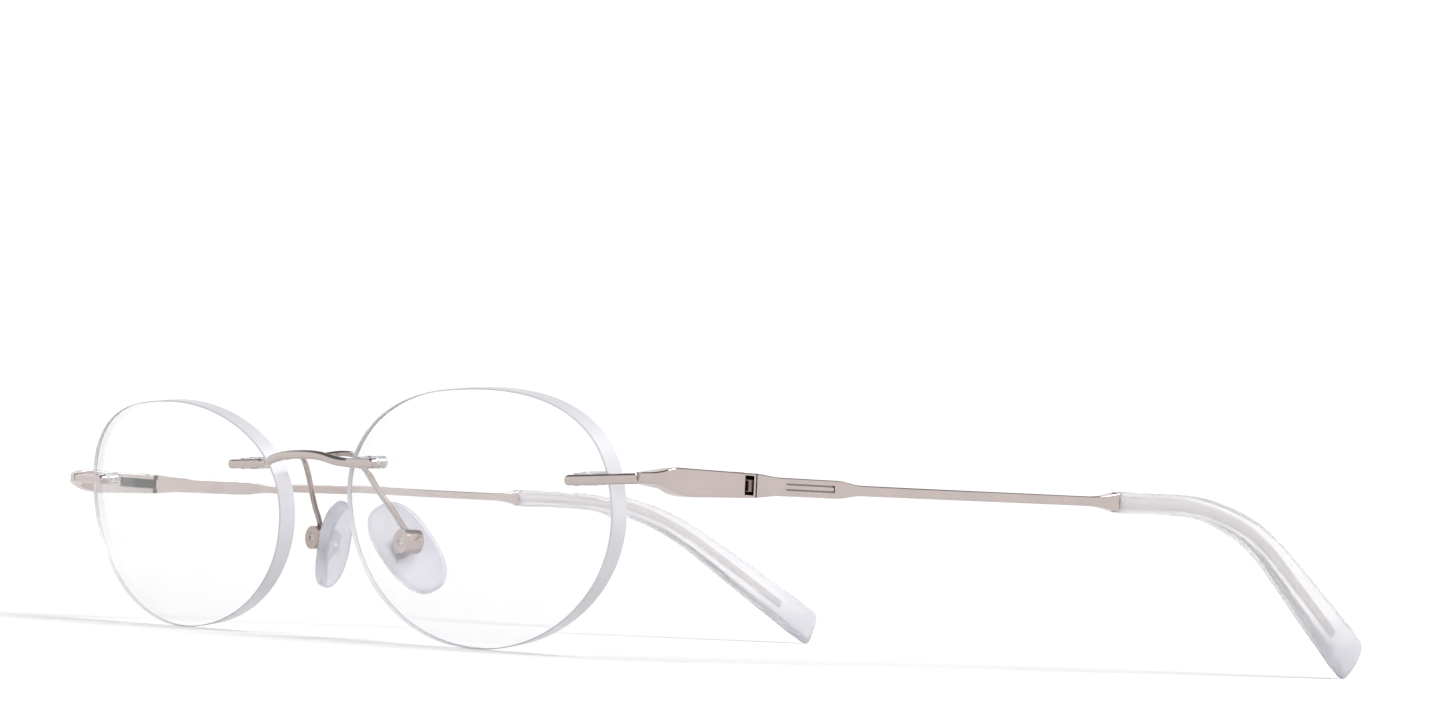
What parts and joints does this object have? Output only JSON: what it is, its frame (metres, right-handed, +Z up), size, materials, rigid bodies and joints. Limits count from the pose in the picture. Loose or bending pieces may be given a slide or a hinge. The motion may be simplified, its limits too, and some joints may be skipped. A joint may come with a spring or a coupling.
{
  "type": "rimless eyeglasses",
  "caption": "Rimless eyeglasses: clear lenses on a slim metal bridge and endpieces, folding metal temples with clear tips, and rocking clear nose pads.",
  "frame": {"origin": "The centre of the footprint, on the surface the open glasses stand on.", "axes": "+X is the wearer's left, +Y runs from the lenses back along the temples, +Z is up. The temples are open at rest."},
  "size_m": [0.1358, 0.1567, 0.0319],
  "materials": {
    "clear_lens": "clear polished optical plastic with polished edges",
    "satin_metal": "smooth champagne-silver plated titanium, softly polished",
    "pad_metal": "bright plated wire and clip",
    "screw_steel": "turned steel",
    "insert_metal": "bright plated insert",
    "ring_metal": "matt lilac-grey ring",
    "pad_silicone": "soft clear silicone, faintly milky",
    "clear_bushing": "clear nylon",
    "tip_acetate": "clear acetate, faintly grey"
  },
  "bodies": {
    "front": {"lens_left": "clear_lens", "lens_right": "clear_lens", "bridge": "satin_metal", "pad_arm_left": "pad_metal", "pad_arm_right": "pad_metal", "pad_box_left": "pad_metal", "pad_box_right": "pad_metal", "pad_screws": "screw_steel", "endpiece_left": "satin_metal", "endpiece_right": "satin_metal", "lens_posts": "screw_steel", "lens_bushings": "clear_bushing", "hinge_screws": "screw_steel"},
    "temple_left": {"temple_left": "satin_metal", "tip_ring_left": "ring_metal", "temple_tip_left": "tip_acetate"},
    "temple_right": {"temple_right": "satin_metal", "tip_ring_right": "ring_metal", "temple_tip_right": "tip_acetate"},
    "pad_left": {"nose_pad_left": "pad_silicone", "pad_insert_left": "insert_metal"},
    "pad_right": {"nose_pad_right": "pad_silicone", "pad_insert_right": "insert_metal"}
  },
  "joints": [
    {"name": "temple_left_fold", "type": "hinge", "parent": "front", "child": "temple_left", "pos_m": [0.0665, -0.06087, 0.02095], "axis": [0, 0, 1], "range_deg": [0, 90]},
    {"name": "temple_right_fold", "type": "hinge", "parent": "front", "child": "temple_right", "pos_m": [-0.0665, -0.06087, 0.02095], "axis": [0, 0, -1], "range_deg": [0, 85]},
    {"name": "pad_left_rock", "type": "hinge", "parent": "front", "child": "pad_left", "pos_m": [0.01093, -0.06622, 0.0132], "axis": [0, 1, 0], "range_deg": [-5, 5]},
    {"name": "pad_right_rock", "type": "hinge", "parent": "front", "child": "pad_right", "pos_m": [-0.01093, -0.06622, 0.0132], "axis": [0, -1, 0], "range_deg": [-5, 5]}
  ]
}
